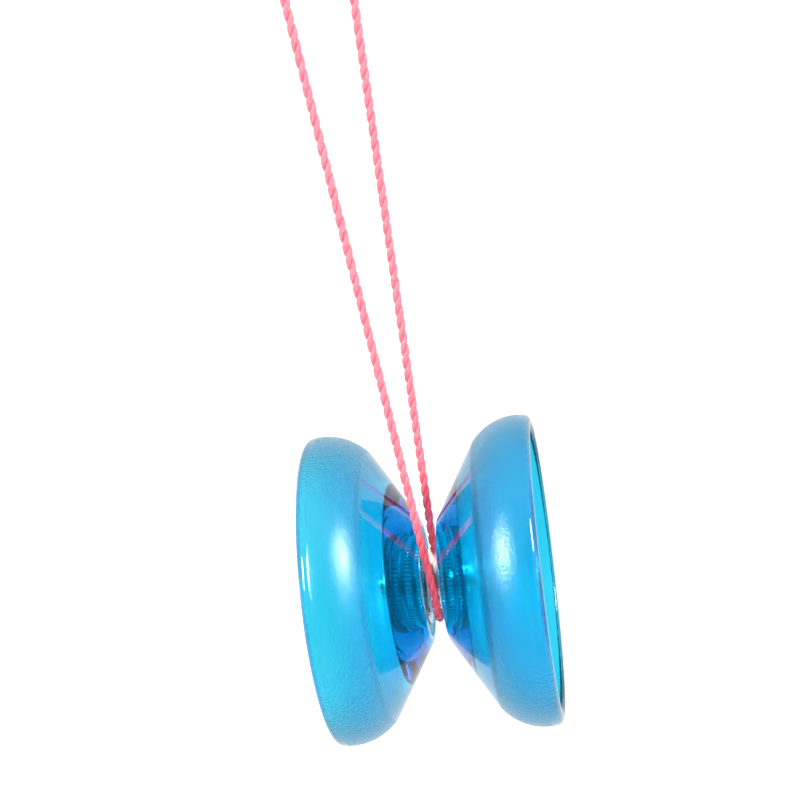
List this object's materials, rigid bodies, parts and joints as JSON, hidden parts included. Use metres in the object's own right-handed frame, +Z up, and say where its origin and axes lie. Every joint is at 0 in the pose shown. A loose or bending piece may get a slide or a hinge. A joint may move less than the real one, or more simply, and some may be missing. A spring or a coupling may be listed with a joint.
{
  "type": "yo-yo",
  "caption": "Ball-bearing yo-yo: two flared translucent plastic cups screwed together on a steel axle, hanging from a looped twisted string.",
  "frame": {"origin": "underside of the string loop's crown, where a finger carries it; the axle's centre is 4.4 mm along +X and 135.6 mm below", "axes": "+X along the axle, from the half with the axle's hex socket to the half that unscrews; +Z up along the string; -Y towards the front strand"},
  "size_m": [0.0436, 0.06, 0.167],
  "materials": {
    "blue_plastic": "translucent blue, polished on the cone, lip and cup, finely textured on the outer band",
    "insert_metal": "turned, with two knurled bands",
    "bearing_steel": "ground and polished bearing steel",
    "axle_steel": "black oxide",
    "cage_steel": "stamped strip",
    "shield_steel": "pressed sheet",
    "pad_silicone": "matt clear silicone",
    "string_pink": "two-ply twisted polyester, slightly hairy"
  },
  "bodies": {
    "string_loop": {"string": "string_pink", "string_knot": "string_pink", "bearing_outer_race": "bearing_steel", "left_bearing_shield": "shield_steel", "right_bearing_shield": "shield_steel", "left_shield_clip": "bearing_steel", "right_shield_clip": "bearing_steel"},
    "left_half": {"left_half_body": "blue_plastic", "left_hub_insert": "insert_metal", "left_response_pad": "pad_silicone", "axle_screw": "axle_steel", "bearing_inner_race": "bearing_steel"},
    "right_pad": {"right_response_pad": "pad_silicone"},
    "right_half": {"right_half_body": "blue_plastic", "right_hub_insert": "insert_metal"},
    "ball_cage": {"bearing_cage": "cage_steel"},
    "ball_1": {"bearing_ball_1": "bearing_steel"},
    "ball_2": {"bearing_ball_2": "bearing_steel"},
    "ball_3": {"bearing_ball_3": "bearing_steel"},
    "ball_4": {"bearing_ball_4": "bearing_steel"},
    "ball_5": {"bearing_ball_5": "bearing_steel"},
    "ball_6": {"bearing_ball_6": "bearing_steel"},
    "ball_7": {"bearing_ball_7": "bearing_steel"},
    "ball_8": {"bearing_ball_8": "bearing_steel"}
  },
  "joints": [
    {"name": "yoyo_spin", "type": "hinge", "parent": "string_loop", "child": "left_half", "pos_m": [0.0044, 0, -0.1356], "axis": [1, 0, 0], "continuous": true},
    {"name": "right_half_travel", "type": "slide", "parent": "left_half", "child": "right_pad", "axis": [1, 0, 0], "range_m": [0, 0.0092]},
    {"name": "right_half_unscrew", "type": "hinge", "parent": "right_pad", "child": "right_half", "pos_m": [0.0044, 0, -0.1356], "axis": [1, 0, 0], "range_deg": [0, 4680]},
    {"name": "cage_orbit", "type": "hinge", "parent": "string_loop", "child": "ball_cage", "pos_m": [0.0044, 0, -0.1356], "axis": [1, 0, 0], "continuous": true},
    {"name": "ball_1_spin", "type": "hinge", "parent": "ball_cage", "child": "ball_1", "pos_m": [0.0044, 0, -0.13084], "axis": [1, 0, 0], "continuous": true},
    {"name": "ball_2_spin", "type": "hinge", "parent": "ball_cage", "child": "ball_2", "pos_m": [0.0044, 0.00337, -0.13223], "axis": [1, 0, 0], "continuous": true},
    {"name": "ball_3_spin", "type": "hinge", "parent": "ball_cage", "child": "ball_3", "pos_m": [0.0044, 0.00476, -0.1356], "axis": [1, 0, 0], "continuous": true},
    {"name": "ball_4_spin", "type": "hinge", "parent": "ball_cage", "child": "ball_4", "pos_m": [0.0044, 0.00337, -0.13897], "axis": [1, 0, 0], "continuous": true},
    {"name": "ball_5_spin", "type": "hinge", "parent": "ball_cage", "child": "ball_5", "pos_m": [0.0044, 0, -0.14036], "axis": [1, 0, 0], "continuous": true},
    {"name": "ball_6_spin", "type": "hinge", "parent": "ball_cage", "child": "ball_6", "pos_m": [0.0044, -0.00337, -0.13897], "axis": [1, 0, 0], "continuous": true},
    {"name": "ball_7_spin", "type": "hinge", "parent": "ball_cage", "child": "ball_7", "pos_m": [0.0044, -0.00476, -0.1356], "axis": [1, 0, 0], "continuous": true},
    {"name": "ball_8_spin", "type": "hinge", "parent": "ball_cage", "child": "ball_8", "pos_m": [0.0044, -0.00337, -0.13223], "axis": [1, 0, 0], "continuous": true}
  ],
  "couplings": [
    {"joint": "cage_orbit", "follows": "yoyo_spin", "ratio": 0.41667},
    {"joint": "right_half_travel", "follows": "right_half_unscrew", "m_per_rad": 0.00011141},
    {"joint": "ball_1_spin", "follows": "yoyo_spin", "ratio": -2.9167},
    {"joint": "ball_2_spin", "follows": "yoyo_spin", "ratio": -2.9167},
    {"joint": "ball_3_spin", "follows": "yoyo_spin", "ratio": -2.9167},
    {"joint": "ball_4_spin", "follows": "yoyo_spin", "ratio": -2.9167},
    {"joint": "ball_5_spin", "follows": "yoyo_spin", "ratio": -2.9167},
    {"joint": "ball_6_spin", "follows": "yoyo_spin", "ratio": -2.9167},
    {"joint": "ball_7_spin", "follows": "yoyo_spin", "ratio": -2.9167},
    {"joint": "ball_8_spin", "follows": "yoyo_spin", "ratio": -2.9167}
  ]
}
